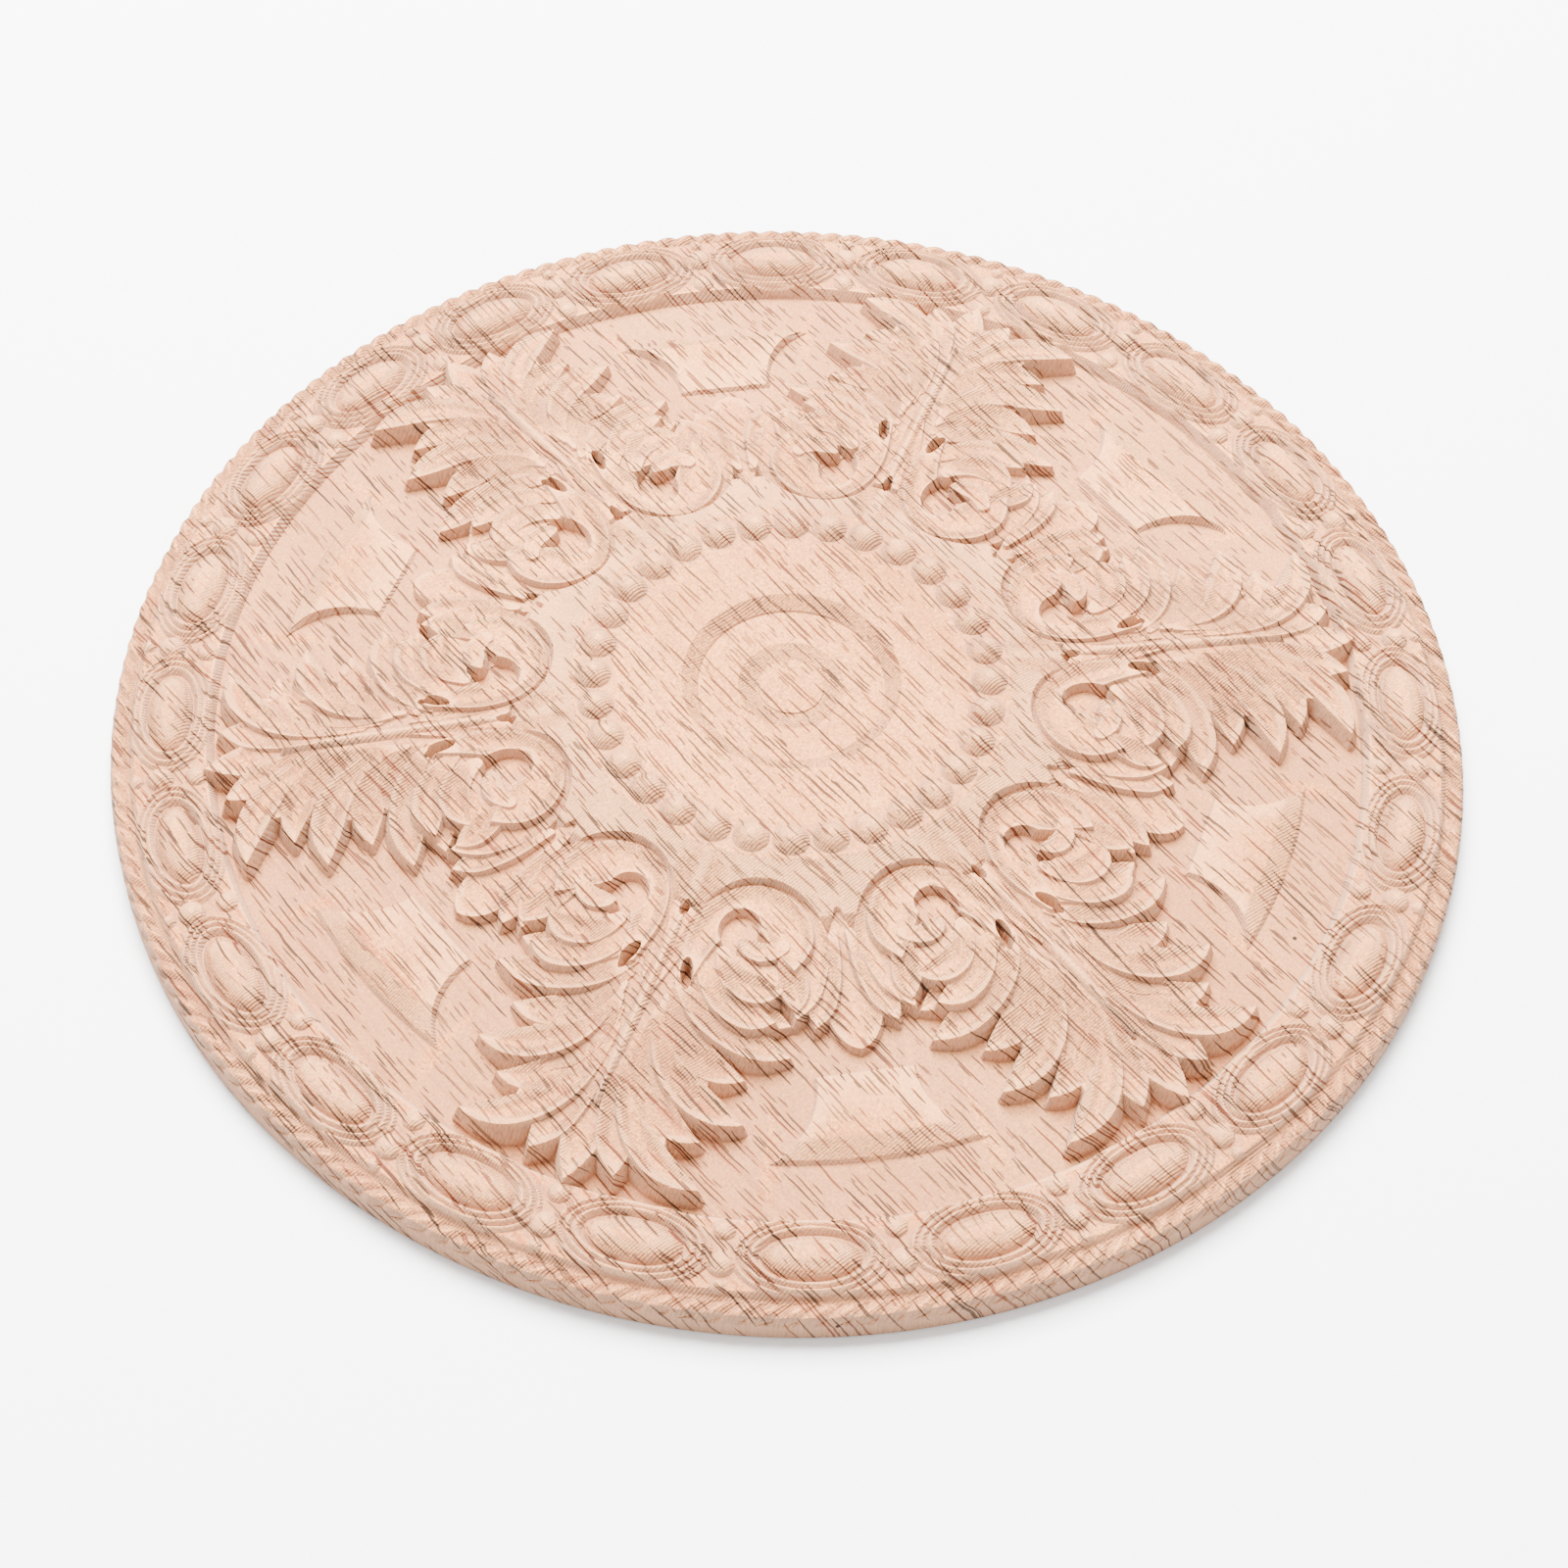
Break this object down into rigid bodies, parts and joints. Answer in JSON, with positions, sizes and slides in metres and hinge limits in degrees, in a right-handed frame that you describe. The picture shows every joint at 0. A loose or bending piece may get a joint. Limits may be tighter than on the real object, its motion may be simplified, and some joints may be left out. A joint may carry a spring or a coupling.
{
  "type": "carved wooden rosette",
  "caption": "Round carved wooden rosette: acanthus sprays between raised panels round a beaded dish, in a border of ovals with a rope edge; flat back for fixing to a panel, door or wall.",
  "frame": {"origin": "centre of the flat back", "axes": "+Z out of the carving, away from what the rosette is fixed to; +Y along the grain and along the middle of the first spray"},
  "size_m": [0.3, 0.3, 0.0235],
  "materials": {
    "pale_wood": "raw, unsanded, straight open pores"
  },
  "bodies": {
    "root": {"rosette": "pale_wood"}
  },
  "joints": []
}
